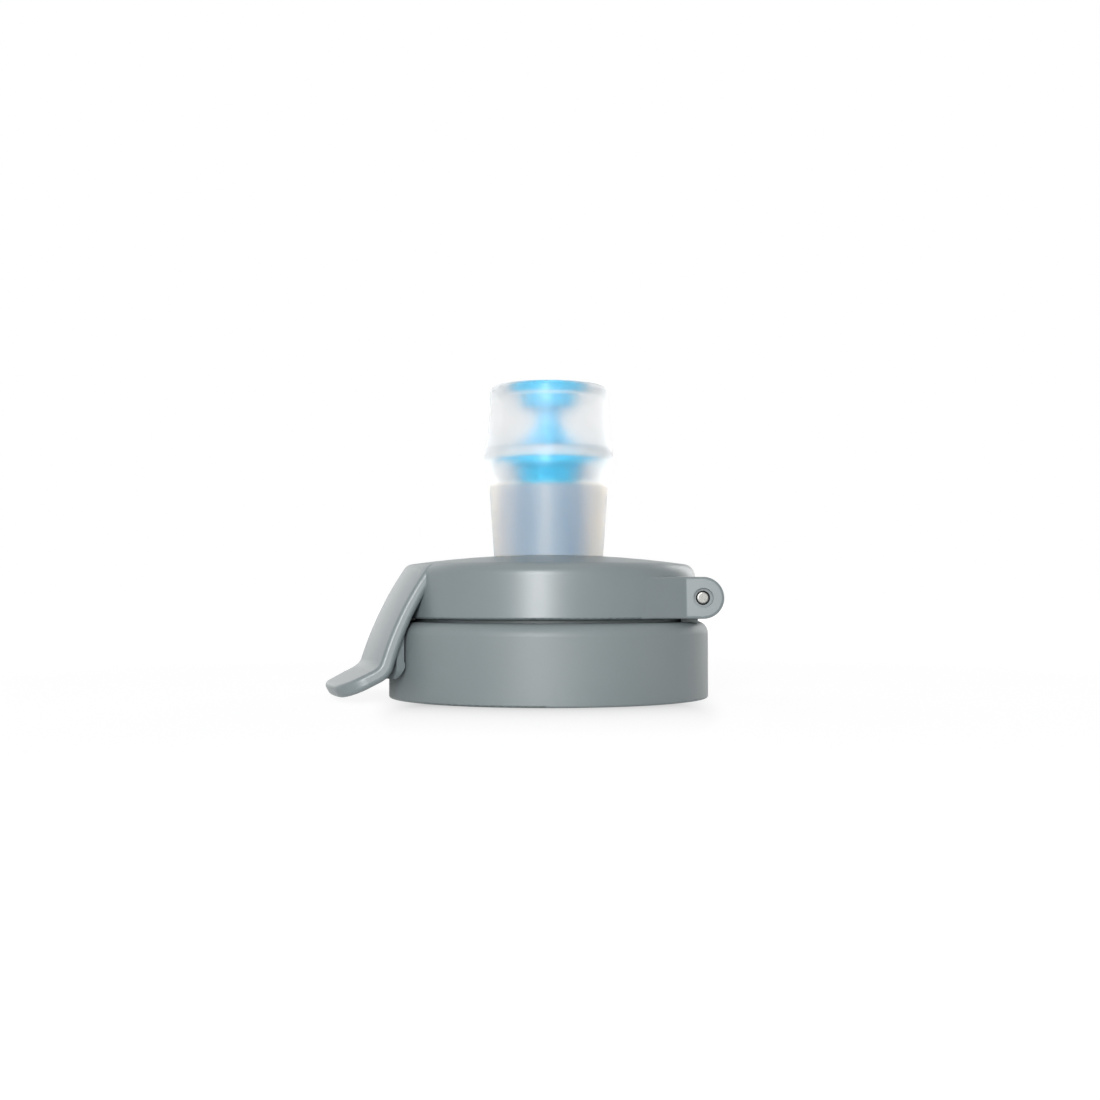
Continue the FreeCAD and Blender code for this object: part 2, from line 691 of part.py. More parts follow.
channel = new_body("LidChannel")
channel_outline = outline(
    channel,
    "ChannelOutline",
    "XZ_Plane",
    (SKIRT_RADIUS, f"{LID_FLOOR} - lid_wall"),
    (f"{LID_RADIUS} - lid_wall", f"{LID_FLOOR} - lid_wall"),
    (f"{LID_TOP_RADIUS} - lid_wall", f"{DOME_EDGE} - 2 * lid_wall"),
    (CHANNEL_EDGE, f"{DOME_CENTRE} + sqrt({INNER_DOME} ^ 2 - {CHANNEL_EDGE} ^ 2)"),
    (SKIRT_RADIUS, f"{DOME_CENTRE} + sqrt({INNER_DOME} ^ 2 - {SKIRT_RADIUS} ^ 2)", INNER_DOME),
)
turned(channel, "ChannelTurned", channel_outline)
hinge_root = box_tool(
    "HingeRoot", HINGE_ROOT, f"2 * {LID_RADIUS}", "cheek_half_width", "0", f"2 * {LID_FLOOR}"
)
open_channel = cut("OpenChannel", channel, hinge_root)

# Room for the ring's knuckle between the cheeks, and the pin's holes.
notch_round = crossways("NotchRound", NOTCH_RADIUS, NOTCH_HALF_WIDTH)
notch_low = box_tool(
    "NotchLow",
    f"{PIN_REACH} - {NOTCH_RADIUS}",
    f"2 * {LID_RADIUS}",
    NOTCH_HALF_WIDTH,
    SHELF_FLOOR,
    PIN_HEIGHT,
)
pin_hole = crossways("PinHole", "pin_radius + pin_hold", "2 * cheek_half_width")
recess_bar = crossways("RecessBar", "recess_radius", "2 * cheek_half_width")
recess_core = box_tool("RecessCore", "0", f"2 * {LID_RADIUS}", PIN_END, "0", f"2 * {PIN_HEIGHT}")
recesses = cut("PinRecesses", recess_bar, recess_core)

lid_solid = boolean("Part::MultiFuse", "LidSolid", [shell, cheeks, arm, latch])
lid_tools = boolean(
    "Part::MultiFuse",
    "LidTools",
    [bowl, open_channel, notch_round, notch_low, pin_hole, recesses, slot],
)
lid = cut("flip_lid", lid_solid, lid_tools)

# Seal in the skirt's groove.
seal = new_body("lid_seal")
SEAL_RADIUS = f"({MOUTH_RADIUS} - seal_clearance)"
seal_outline = outline(
    seal,
    "SealOutline",
    "XZ_Plane",
    (GROOVE_RADIUS, SEAL_FLOOR),
    (SEAL_RADIUS, SEAL_FLOOR),
    (SEAL_RADIUS, f"{SEAL_FLOOR} + seal_height"),
    (GROOVE_RADIUS, f"{SEAL_FLOOR} + seal_height"),
)
turned(seal, "SealTurned", seal_outline)
rounded(
    seal,
    "SealLip",
    "seal_round",
    lambda edge: isinstance(edge.Curve, Part.Circle)
    and abs(edge.Curve.Radius - number(SEAL_RADIUS)) < 1e-4,
)

# Hinge pin, pressed into the cheeks and turning in the knuckle.
pin = new_body("hinge_pin")
pin_outline = circle_sketch(pin, "PinOutline", PIN_REACH, PIN_HEIGHT, "pin_radius")
padded(pin, "PinRod", pin_outline, f"2 * {PIN_END}")
rounded(pin, "PinEnds", "pin_round", lambda edge: isinstance(edge.Curve, Part.Circle))

# Valve core: spigot, bowl and flange turned, four gussets under a thin stem, and the plug.
core = new_body("valve_core")
SPIGOT_RADIUS = f"({POST_BORE} - spigot_clearance)"
FLANGE_RADIUS = "(post_radius + flange_reach)"
RIB_REACH = f"({FLANGE_RADIUS} - rib_inset)"
FLANGE_TOP = f"({BASE_TOP} - rib_edge)"
base_outline = outline(
    core,
    "BaseOutline",
    "XZ_Plane",
    ("spigot_bore", f"{POST_TOP} - spigot_length"),
    (SPIGOT_RADIUS, f"{POST_TOP} - spigot_length"),
    (SPIGOT_RADIUS, POST_TOP),
    (f"{POST_BORE} + bowl_step", POST_TOP),
    ("post_radius", f"{POST_TOP} + bowl_height"),
    (FLANGE_RADIUS, f"{FLANGE_TOP} - flange_thick"),
    (FLANGE_RADIUS, FLANGE_TOP),
    (f"{RIB_REACH} + rib_edge", FLANGE_TOP),
    (RIB_REACH, BASE_TOP),
    ("spigot_bore", BASE_TOP),
)
turned(core, "CoreBase", base_outline)
rib_outline = outline(
    core,
    "RibOutline",
    "XZ_Plane",
    ("0", FLANGE_TOP),
    (RIB_REACH, FLANGE_TOP),
    (RIB_REACH, f"{BASE_TOP} + rib_edge"),
    ("stem_radius", f"{BASE_TOP} + rib_height", "-rib_bow"),
    ("0", f"{BASE_TOP} + rib_height"),
)
rib = padded(core, "CoreRib", rib_outline, "rib_thick")
ribs = core.newObject("PartDesign::PolarPattern", "CoreRibs")
ribs.Originals = [rib]
ribs.Axis = (rib_outline, ["V_Axis"])
ribs.Angle = 360
ribs.Occurrences = 4
core.Tip = ribs
stem_outline = outline(
    core,
    "StemOutline",
    "XZ_Plane",
    ("0", FLANGE_TOP),
    ("stem_radius", FLANGE_TOP),
    ("stem_radius", PLUG_FOOT),
    (PLUG_RADIUS, PLUG_FOOT),
    (PLUG_RADIUS, SHEATH_TOP),
    ("0", SHEATH_TOP),
)
turned(core, "CoreStem", stem_outline)
rounded(core, "PlugFoot", "plug_foot_round", circle_at(PLUG_RADIUS, PLUG_FOOT))
rounded(core, "PlugTop", "plug_top_round", circle_at(PLUG_RADIUS, SHEATH_TOP))

# Silicone sheath: pressed over the post, its groove over the core's flange, its lip round the plug.
sheath = new_body("bite_sheath")
SHEATH_BORE = "(post_radius + sheath_fit)"
CHAMBER_RADIUS = "(post_radius + chamber_step)"
COLLAR_RADIUS = "(post_radius + collar_step)"
LIP_FLOOR = f"({SHEATH_TOP} - lip_height)"
sheath_outline = outline(
    sheath,
    "SheathOutline",
    "XZ_Plane",
    (SHEATH_BORE, SEAT),
    (SHEATH_FOOT, SEAT),
    (f"{SHEATH_FOOT} + waist_flare", f"{POST_TOP} + waist_rise"),
    (f"{SHEATH_FOOT} + bulge_flare", f"{POST_TOP} + bulge_rise"),
    (f"{SHEATH_FOOT} + neck_flare", f"{POST_TOP} + neck_rise"),
    (f"{SHEATH_FOOT} + top_flare", SHEATH_TOP),
    (f"{PLUG_RADIUS} + sheath_fit", SHEATH_TOP),
    (f"{PLUG_RADIUS} + sheath_fit", LIP_FLOOR),
    (CHAMBER_RADIUS, f"{LIP_FLOOR} - ({CHAMBER_RADIUS} - {PLUG_RADIUS}) / 3"),
    (CHAMBER_RADIUS, f"{BASE_TOP} + 2 * collar_height"),
    (COLLAR_RADIUS, f"{BASE_TOP} + collar_height"),
    (COLLAR_RADIUS, f"{FLANGE_TOP} + sheath_fit"),
    (f"{FLANGE_RADIUS} + sheath_fit", f"{FLANGE_TOP} + sheath_fit"),
    (f"{FLANGE_RADIUS} + sheath_fit", f"{POST_TOP} + pocket_rise + pocket_ramp"),
    (SHEATH_BORE, f"{POST_TOP} + pocket_rise"),
)
turned(sheath, "SheathTurned", sheath_outline)
rounded(sheath, "SheathMouth", "sheath_round", circle_at(f"{SHEATH_FOOT} + top_flare", SHEATH_TOP))
bulge = circle_at(f"{SHEATH_FOOT} + bulge_flare", f"{POST_TOP} + bulge_rise")
rounded(sheath, "SheathBulge", "bulge_round", bulge)
waist = circle_at(f"{SHEATH_FOOT} + waist_flare", f"{POST_TOP} + waist_rise")
rounded(sheath, "SheathWaist", "waist_round", waist)
neck = circle_at(f"{SHEATH_FOOT} + neck_flare", f"{POST_TOP} + neck_rise")
rounded(sheath, "SheathNeck", "waist_round", neck)

# Every piece has to be sound before it is written.
doc.recompute()
doc.removeObject(probe.Name)
for item in doc.Objects:
    if "Invalid" in item.State or "Error" in item.State:
        raise RuntimeError(f"{item.Name} failed: {item.State}")

os.makedirs("parts", exist_ok=True)
for node in (ring, lid, pin, seal, gasket, sheath, core):
    shape = node.Shape
    if shape.isNull() or not shape.isValid() or len(shape.Solids) != 1:
        raise RuntimeError(f"{node.Label} isn't one sound solid")
    shape.exportStep(f"parts/{node.Label}.step")
    print(node.Label, round(shape.Volume, 2), "mm3")
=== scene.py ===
import math

import bpy
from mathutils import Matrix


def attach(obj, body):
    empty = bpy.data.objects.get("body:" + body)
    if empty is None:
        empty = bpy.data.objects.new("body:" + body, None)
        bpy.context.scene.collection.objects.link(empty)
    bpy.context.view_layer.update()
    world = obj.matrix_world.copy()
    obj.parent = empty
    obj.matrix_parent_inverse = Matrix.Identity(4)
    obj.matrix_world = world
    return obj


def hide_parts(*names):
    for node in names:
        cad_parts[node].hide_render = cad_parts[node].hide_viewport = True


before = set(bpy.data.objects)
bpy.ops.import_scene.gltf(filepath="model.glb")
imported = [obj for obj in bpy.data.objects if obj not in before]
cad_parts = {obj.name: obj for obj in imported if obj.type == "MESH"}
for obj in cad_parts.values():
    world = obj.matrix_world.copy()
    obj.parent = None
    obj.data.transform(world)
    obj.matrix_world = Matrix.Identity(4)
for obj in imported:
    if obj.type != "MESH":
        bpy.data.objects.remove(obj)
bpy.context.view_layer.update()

# Screw ring: one moulding of grey polypropylene with a smooth wall, screwed on the flask's neck.
# Its mould was left as spark erosion leaves it, so the skin is matte with a fine even grain,
# and the rim that it stands on is rubbed a little paler.
MM = 0.001
RING_GREY = "#7C8688"
RING_PALE = "#889293"
RING_ROUGH = (0.48, 0.56)
RUBBED_RIM = 0.5 * MM
# Real grain is about 0.05 mm, and is drawn three times as coarse so that it shows
SPARK_GRAIN = 0.16 * MM
GRAIN_DEPTH = 0.012 * MM
FLOW_CLOUD = 13.0 * MM
FLOW_PALE = 0.35
RUBBED_PALE = 0.5
# Between these two the noise has nearly all its values
NOISE_LOW, NOISE_HIGH = 0.3, 0.7
PLASTIC_SHINE = 0.95
PLASTIC_IOR = 1.49


def linear(colour, alpha=1.0):
    """An sRGB hex colour as the linear colour that a shader takes."""
    parts = [int(colour[i : i + 2], 16) / 255 for i in (1, 3, 5)]
    parts = [p / 12.92 if p <= 0.04045 else ((p + 0.055) / 1.055) ** 2.4 for p in parts]
    return (*parts, alpha)


def add(tree, kind, inputs=None, **settings):
    """Adds a node with its settings, and links the inputs that are given as sockets."""
    node = tree.nodes.new(kind)
    for name, value in settings.items():
        setattr(node, name, value)
    for key, value in (inputs or {}).items():
        if isinstance(value, bpy.types.NodeSocket):
            tree.links.new(value, node.inputs[key])
        else:
            node.inputs[key].default_value = value
    return node


def new_material(name):
    """A material and its empty node tree."""
    material = bpy.data.materials.new(name)
    material.use_nodes = True
    material.node_tree.nodes.clear()
    return material, material.node_tree


def dress(node_name, material):
    """Puts a material in every slot of a CAD node."""
    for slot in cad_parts[node_name].material_slots:
        slot.material = material


def moulded_plastic(name, deep, pale, rough, grain_size, grain_depth, rubbed):
    """Moulded polypropylene: clouds of flow in the colour, grain in the skin, a paler rubbed foot."""
    material, tree = new_material(name)
    place = add(tree, "ShaderNodeTexCoord").outputs["Object"]
    clouds = add(tree, "ShaderNodeTexNoise", {"Vector": place, "Scale": 1 / FLOW_CLOUD, "Detail": 3.0})
    grain = add(tree, "ShaderNodeTexNoise", {"Vector": place, "Scale": 1 / grain_size, "Detail": 2.0})
    height = add(tree, "ShaderNodeSeparateXYZ", {"Vector": place}).outputs["Z"]
    foot = add(
        tree,
        "ShaderNodeMapRange",
        {
            "Value": height,
            "From Min": rubbed[0],
            "From Max": rubbed[1],
            "To Min": RUBBED_PALE,
            "To Max": 0.0,
        },
    )
    worn = add(tree, "ShaderNodeMath", {0: foot.outputs[0], 1: grain.outputs["Fac"]}, operation="MULTIPLY")
    cloudy = add(
        tree,
        "ShaderNodeMapRange",
        {
            "Value": clouds.outputs["Fac"],
            "From Min": NOISE_LOW,
            "From Max": NOISE_HIGH,
            "To Max": FLOW_PALE,
        },
    )
    tone = add(tree, "ShaderNodeMath", {0: cloudy.outputs[0], 1: worn.outputs[0]}, operation="ADD")
    colour = add(
        tree,
        "ShaderNodeMix",
        {"Factor": tone.outputs[0], 6: linear(deep), 7: linear(pale)},
        data_type="RGBA",
    )
    gloss = add(
        tree,
        "ShaderNodeMapRange",
        {
            "Value": grain.outputs["Fac"],
            "From Min": NOISE_LOW,
            "From Max": NOISE_HIGH,
            "To Min": rough[0],
            "To Max": rough[1],
        },
    )
    relief = add(
        tree, "ShaderNodeBump", {"Height": grain.outputs["Fac"], "Strength": 1.0, "Distance": grain_depth}
    )
    skin = add(
        tree,
        "ShaderNodeBsdfPrincipled",
        {
            "Base Color": colour.outputs[2],
            "Roughness": gloss.outputs[0],
            "Normal": relief.outputs[0],
            "IOR": PLASTIC_IOR,
            "Specular IOR Level": PLASTIC_SHINE,
        },
    )
    add(tree, "ShaderNodeOutputMaterial", {"Surface": skin.outputs[0]})
    return material


ring_plastic = moulded_plastic(
    "spark_eroded_polypropylene_grey",
    RING_GREY,
    RING_PALE,
    RING_ROUGH,
    SPARK_GRAIN,
    GRAIN_DEPTH,
    (0.0, RUBBED_RIM),
)
dress("screw_ring", ring_plastic)

# Neck thread: a right-hand ridge of the ring's own moulding on the inner wall, which runs out at both ends.
# It takes the thread of the flask's neck.
THREAD_ROOT = 21.2 * MM
THREAD_SINK = 0.1 * MM
THREAD_DEPTH = 0.9 * MM
THREAD_FOOT = 1.9 * MM
THREAD_CREST = 0.8 * MM
THREAD_PITCH = 4.0 * MM
THREAD_TURNS = 1.2
THREAD_START = 2.1 * MM
THREAD_RUN_OUT = 0.08
THREAD_END = 0.05
THREAD_STEPS = 120


def new_shape_tree(name, **sizes):
    """A Geometry Nodes tree with an outline input and named sizes, and its input sockets."""
    tree = bpy.data.node_groups.new(name, "GeometryNodeTree")
    tree.interface.new_socket("Outline", in_out="INPUT", socket_type="NodeSocketGeometry")
    for label, kind in sizes.items():
        tree.interface.new_socket(label, in_out="INPUT", socket_type=kind)
    tree.interface.new_socket("Shape", in_out="OUTPUT", socket_type="NodeSocketGeometry")
    return tree, add(tree, "NodeGroupInput").outputs


def end_shape_tree(tree, shape, material):
    """Ends a tree in real geometry that has the piece's material."""
    real = add(tree, "GeometryNodeRealizeInstances", {"Geometry": shape})
    dressed = add(tree, "GeometryNodeSetMaterial", {"Geometry": real.outputs[0], "Material": material})
    add(tree, "NodeGroupOutput", {0: dressed.outputs[0]})


def outline_mesh(name, corners):
    """A closed loop of edges through corners (radius, height, round) in the XZ plane, with their rounds."""
    mesh = bpy.data.meshes.new(name)
    edges = [(i, (i + 1) % len(corners)) for i in range(len(corners))]
    mesh.from_pydata([(radius, 0.0, height) for radius, height, _ in corners], edges, [])
    rounds = mesh.attributes.new("round", "FLOAT", "POINT")
    rounds.data.foreach_set("value", [corner[2] for corner in corners])
    return mesh


def shape_from(tree, name, outline, **sizes):
    """Runs a tree on an outline with the named sizes and returns the result as a plain mesh object."""
    piece = bpy.data.objects.new(name, outline)
    bpy.context.scene.collection.objects.link(piece)
    modifier = piece.modifiers.new(name, "NODES")
    modifier.node_group = tree
    inputs = {s.name: s.identifier for s in tree.interface.items_tree if s.in_out == "INPUT"}
    for label, value in sizes.items():
        modifier[inputs[label]] = value
    shaped = piece.evaluated_get(bpy.context.evaluated_depsgraph_get())
    plain = bpy.data.meshes.new_from_object(shaped)
    piece.modifiers.remove(modifier)
    piece.data = plain
    return piece


ridge_tree, given = new_shape_tree(
    "thread_ridge",
    Radius="NodeSocketFloat",
    Start="NodeSocketFloat",
    Turns="NodeSocketFloat",
    Pitch="NodeSocketFloat",
    RunOut="NodeSocketFloat",
)
climb = add(ridge_tree, "ShaderNodeMath", {0: given["Turns"], 1: given["Pitch"]}, operation="MULTIPLY")
helix = add(
    ridge_tree,
    "GeometryNodeCurveSpiral",
    {
        "Resolution": THREAD_STEPS,
        "Rotations": given["Turns"],
        "Start Radius": given["Radius"],
        "End Radius": given["Radius"],
        "Height": climb.outputs[0],
        "Reverse": True,
    },
)
lift = add(ridge_tree, "ShaderNodeCombineXYZ", {"Z": given["Start"]})
raised = add(
    ridge_tree, "GeometryNodeSetPosition", {"Geometry": helix.outputs[0], "Offset": lift.outputs[0]}
)
upright = add(ridge_tree, "GeometryNodeSetCurveNormal", {"Curve": raised.outputs[0]}, mode="Z_UP")
along = add(ridge_tree, "GeometryNodeSplineParameter").outputs["Factor"]
left_over = add(ridge_tree, "ShaderNodeMath", {0: 1.0, 1: along}, operation="SUBTRACT")
to_end = add(ridge_tree, "ShaderNodeMath", {0: along, 1: left_over.outputs[0]}, operation="MINIMUM")
fullness = add(
    ridge_tree,
    "ShaderNodeMapRange",
    {"Value": to_end.outputs[0], "From Max": given["RunOut"], "To Min": THREAD_END},
    interpolation_type="SMOOTHSTEP",
)
corner = add(ridge_tree, "GeometryNodeInputPosition")
corner_parts = add(ridge_tree, "ShaderNodeSeparateXYZ", {0: corner.outputs[0]})
laid = add(
    ridge_tree,
    "ShaderNodeCombineXYZ",
    {"X": corner_parts.outputs["X"], "Y": corner_parts.outputs["Z"]},
)
flat_outline = add(
    ridge_tree, "GeometryNodeSetPosition", {"Geometry": given["Outline"], "Position": laid.outputs[0]}
)
section = add(ridge_tree, "GeometryNodeMeshToCurve", {"Mesh": flat_outline.outputs[0]})
ridge = add(
    ridge_tree,
    "GeometryNodeCurveToMesh",
    {
        "Curve": upright.outputs[0],
        "Profile Curve": section.outputs[0],
        "Scale": fullness.outputs[0],
        "Fill Caps": True,
    },
)
end_shape_tree(ridge_tree, ridge.outputs[0], ring_plastic)
ridge_outline = outline_mesh(
    "thread_outline",
    [
        (0.0, -THREAD_FOOT / 2, 0.0),
        (0.0, THREAD_FOOT / 2, 0.0),
        (-THREAD_SINK - THREAD_DEPTH, THREAD_CREST / 2, 0.0),
        (-THREAD_SINK - THREAD_DEPTH, -THREAD_CREST / 2, 0.0),
    ],
)
neck_thread = shape_from(
    ridge_tree,
    "neck_thread",
    ridge_outline,
    Radius=THREAD_ROOT + THREAD_SINK,
    Start=THREAD_START,
    Turns=THREAD_TURNS,
    Pitch=THREAD_PITCH,
    RunOut=THREAD_RUN_OUT,
)
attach(neck_thread, "ring")

# Neck gasket and lid seal: rings of food-grade silicone, pressed in by hand. The gasket lies under the
# ring's shelf, and the seal sits in the groove of the lid's skirt. Powdery, milky and soft at the edges.
SEAL_WHITE = "#D6DBDA"
SEAL_SHADE = "#BFC6C6"
SEAL_POWDER = 0.35 * MM
SEAL_DEPTH = 0.006 * MM
SEAL_ROUGH = (0.45, 0.7)
SEAL_MILK = 0.4
SEAL_SCATTER = 1.2 * MM
SILICONE_IOR = 1.41

seal_silicone, tree = new_material("moulded_silicone_milky_white")
place = add(tree, "ShaderNodeTexCoord").outputs["Object"]
powder = add(tree, "ShaderNodeTexNoise", {"Vector": place, "Scale": 1 / SEAL_POWDER, "Detail": 3.0})
bloom = add(
    tree,
    "ShaderNodeMix",
    {0: powder.outputs["Fac"], 6: linear(SEAL_WHITE), 7: linear(SEAL_SHADE)},
    data_type="RGBA",
)
dull = add(
    tree,
    "ShaderNodeMapRange",
    {"Value": powder.outputs["Fac"], "To Min": SEAL_ROUGH[0], "To Max": SEAL_ROUGH[1]},
)
soft = add(
    tree, "ShaderNodeBump", {"Height": powder.outputs["Fac"], "Strength": 1.0, "Distance": SEAL_DEPTH}
)
seal_skin = add(
    tree,
    "ShaderNodeBsdfPrincipled",
    {
        "Base Color": bloom.outputs[2],
        "Roughness": dull.outputs[0],
        "Normal": soft.outputs[0],
        "IOR": SILICONE_IOR,
        "Subsurface Weight": SEAL_MILK,
        "Subsurface Radius": (1.0, 1.0, 1.0),
        "Subsurface Scale": SEAL_SCATTER,
    },
)
add(tree, "ShaderNodeOutputMaterial", {"Surface": seal_skin.outputs[0]})
dress("neck_gasket", seal_silicone)
dress("lid_seal", seal_silicone)

# Flip lid: one moulding of the same grey, with its hinge cheeks, bowed latch arm, thumb tab and post.
# Its mould was blasted finer than the ring's, so it has a satin sheen that draws the lamp to a narrow
# bright band on its wall.
LID_GREY = "#7A8588"
LID_PALE = "#869093"
LID_ROUGH = (0.34, 0.42)
BLAST_GRAIN = 0.14 * MM
BLAST_DEPTH = 0.006 * MM
# The tab's lowest edge rubs on tables: most up to the first height, and not past the second
RUBBED_TAB = (0.4 * MM, 1.2 * MM)

lid_plastic = moulded_plastic(
    "bead_blasted_polypropylene_grey",
    LID_GREY,
    LID_PALE,
    LID_ROUGH,
    BLAST_GRAIN,
    BLAST_DEPTH,
    RUBBED_TAB,
)
dress("flip_lid", lid_plastic)

# Hinge pin: drawn stainless wire, cut and tumbled, pushed through both cheeks and the ring's knuckle.
# Fine rings are left on its ends by the cut and fine lines along its length by the die.
PIN_STEEL = "#7E7E7B"
PIN_BRIGHT = "#9C9C99"
PIN_ROUGH = (0.16, 0.4)
PIN_LINE = 0.12 * MM
PIN_LINE_DEPTH = 0.004 * MM
PIN_LINE_STRETCH = 0.05
PIN_AXIS = (21.7 * MM, 0.0, 14.6 * MM)

pin_steel, tree = new_material("drawn_stainless_steel")
place = add(tree, "ShaderNodeTexCoord").outputs["Object"]
centred = add(
    tree,
    "ShaderNodeMapping",
    {"Vector": place, "Location": (-PIN_AXIS[0], 0.0, -PIN_AXIS[2])},
)
spread = add(
    tree,
    "ShaderNodeVectorMath",
    {0: centred.outputs[0], 1: (1.0, PIN_LINE_STRETCH, 1.0)},
    operation="MULTIPLY",
)
lines = add(tree, "ShaderNodeTexNoise", {"Vector": spread.outputs[0], "Scale": 1 / PIN_LINE, "Detail": 2.0})
brushed = add(
    tree,
    "ShaderNodeMapRange",
    {"Value": lines.outputs["Fac"], "To Min": PIN_ROUGH[0], "To Max": PIN_ROUGH[1]},
)
tint = add(
    tree,
    "ShaderNodeMix",
    {0: lines.outputs["Fac"], 6: linear(PIN_STEEL), 7: linear(PIN_BRIGHT)},
    data_type="RGBA",
)
scratch = add(
    tree, "ShaderNodeBump", {"Height": lines.outputs["Fac"], "Strength": 1.0, "Distance": PIN_LINE_DEPTH}
)
steel = add(
    tree,
    "ShaderNodeBsdfPrincipled",
    {
        "Base Color": tint.outputs[2],
        "Metallic": 1.0,
        "Roughness": brushed.outputs[0],
        "Normal": scratch.outputs[0],
    },
)
add(tree, "ShaderNodeOutputMaterial", {"Surface": steel.outputs[0]})
dress("hinge_pin", pin_steel)

# Valve core: one blue moulding pressed in the top of the post. Its plug closes the sheath's lip, and a
# bite squeezes the lip off it. Clear blue polypropylene, glossy, with a little light going through it.
CORE_BLUE = "#04ACD8"
CORE_LIGHT = "#18B8E2"
CORE_CLOUD = 3.0 * MM
CORE_RIPPLE = 0.4 * MM
CORE_RIPPLE_DEPTH = 0.004 * MM
CORE_ROUGH = (0.16, 0.3)
CORE_GLOW_SHARE = 0.35
CORE_GLOW = 1.5 * MM
# Red goes least far in blue plastic
CORE_GLOW_REACH = (0.4, 0.8, 1.0)

core_plastic, tree = new_material("gloss_polypropylene_sky_blue")
place = add(tree, "ShaderNodeTexCoord").outputs["Object"]
clouds = add(tree, "ShaderNodeTexNoise", {"Vector": place, "Scale": 1 / CORE_CLOUD, "Detail": 2.0})
ripple = add(tree, "ShaderNodeTexNoise", {"Vector": place, "Scale": 1 / CORE_RIPPLE, "Detail": 1.0})
blue = add(
    tree,
    "ShaderNodeMix",
    {0: clouds.outputs["Fac"], 6: linear(CORE_BLUE), 7: linear(CORE_LIGHT)},
    data_type="RGBA",
)
sheen = add(
    tree,
    "ShaderNodeMapRange",
    {"Value": ripple.outputs["Fac"], "To Min": CORE_ROUGH[0], "To Max": CORE_ROUGH[1]},
)
wave = add(
    tree,
    "ShaderNodeBump",
    {"Height": ripple.outputs["Fac"], "Strength": 1.0, "Distance": CORE_RIPPLE_DEPTH},
)
core = add(
    tree,
    "ShaderNodeBsdfPrincipled",
    {
        "Base Color": blue.outputs[2],
        "Roughness": sheen.outputs[0],
        "Normal": wave.outputs[0],
        "IOR": PLASTIC_IOR,
        "Subsurface Weight": CORE_GLOW_SHARE,
        "Subsurface Radius": CORE_GLOW_REACH,
        "Subsurface Scale": CORE_GLOW,
    },
)
add(tree, "ShaderNodeOutputMaterial", {"Surface": core.outputs[0]})
dress("valve_core", core_plastic)

# Bite sheath: a thick mouthpiece of clear, slightly milky silicone, stretched over the post and core.
# It grips the post, the core's flange and its plug, and holds an air chamber between them.

# The milk in it scatters blue most, so that dark things behind it look bluish and white ones stay pale.
# By height in mm: the share of light that it scatters on the way through, and the colour that it scatters.
# The dense white band over the bulge, from 35.3 to 36.2 mm, is a painted highlight rather than milk
SHEATH_MILK_AND_PAINTED_HIGHLIGHT = (
    (20.66, (0.38, 0.50, 0.66), (0.40, 0.55, 0.67)),
    (30.8, (0.38, 0.50, 0.66), (0.40, 0.55, 0.67)),
    (31.4, (0.03, 0.04, 0.06), (0.60, 0.60, 0.60)),
    (34.7, (0.03, 0.04, 0.06), (0.60, 0.60, 0.60)),
    # Painted highlight: dense white where the bulge's upper flank would catch the top lamp
    (35.3, (0.60, 0.60, 0.60), (0.80, 0.80, 0.80)),
    (36.2, (0.60, 0.60, 0.60), (0.80, 0.80, 0.80)),
    (36.8, (0.11, 0.11, 0.11), (0.57, 0.56, 0.55)),
    (45.94, (0.11, 0.11, 0.11), (0.57, 0.56, 0.55)),
)
# Most of the milk is given to the outer skin, or else the inner faces would stand out as sharp lines
INNER_MILK = 0.22
INNER_RADIUS = 6.9 * MM
OUTER_RADIUS = 7.9 * MM
LAMP_TINT = "#D2D4D4"
SHEATH_SWIRL = 6.0 * MM
SHEATH_UNEVEN = (0.9, 1.1)
SHEATH_SKIN = 0.5 * MM
SHEATH_SKIN_DEPTH = 0.003 * MM
SHEATH_ROUGH = (0.40, 0.50)
SHEATH_STEPS = 144
ROUND_STEPS = 10
SPINE = 1.0 * MM
CRISP_ANGLE = math.radians(28)
# Corners from the foot up the inside and down the outside: radius, height, round, in mm. Where it grips
# the core, it is a hair smaller than that, so that no air shows between them. On the post air does show.
SHEATH_CORNERS = (
    (5.23, 20.66, 0.0),
    (5.23, 31.90, 0.4),
    (6.25, 33.90, 0.4),
    (6.25, 34.95, 0.0),
    (6.18, 35.00, 0.0),
    (6.18, 35.38, 0.0),
    (5.70, 35.38, 0.0),
    (5.70, 36.19, 0.1),
    (6.70, 36.50, 0.2),
    (6.70, 44.30, 0.3),
    (4.28, 44.75, 0.15),
    (4.28, 45.94, 0.25),
    (8.60, 45.94, 0.9),
    (8.95, 39.50, 12.0),
    (9.65, 35.30, 5.0),
    (8.84, 31.50, 14.0),
    (8.10, 20.95, 0.2),
    (8.10, 20.66, 0.2),
)

sheath_silicone, tree = new_material("clear_silicone_slightly_milky")
place = add(tree, "ShaderNodeTexCoord").outputs["Object"]
swirl = add(tree, "ShaderNodeTexNoise", {"Vector": place, "Scale": 1 / SHEATH_SWIRL, "Detail": 2.0})
pores = add(tree, "ShaderNodeTexNoise", {"Vector": place, "Scale": 1 / SHEATH_SKIN, "Detail": 2.0})
height = add(tree, "ShaderNodeSeparateXYZ", {"Vector": place}).outputs["Z"]
levels = [row[0] * MM for row in SHEATH_MILK_AND_PAINTED_HIGHLIGHT]
risen = add(tree, "ShaderNodeMapRange", {"Value": height, "From Min": levels[0], "From Max": levels[-1]})


def by_height(colours):
    """The colour at each height, from one colour for each level of the milk."""
    ramp = add(tree, "ShaderNodeValToRGB", {"Fac": risen.outputs[0]})
    stops = ramp.color_ramp.elements
    while len(stops) < len(levels):
        stops.new(1.0)
    for stop, level, colour in zip(stops, levels, colours):
        stop.position = (level - levels[0]) / (levels[-1] - levels[0])
        stop.color = (*colour, 1.0)
    return ramp.outputs["Color"]


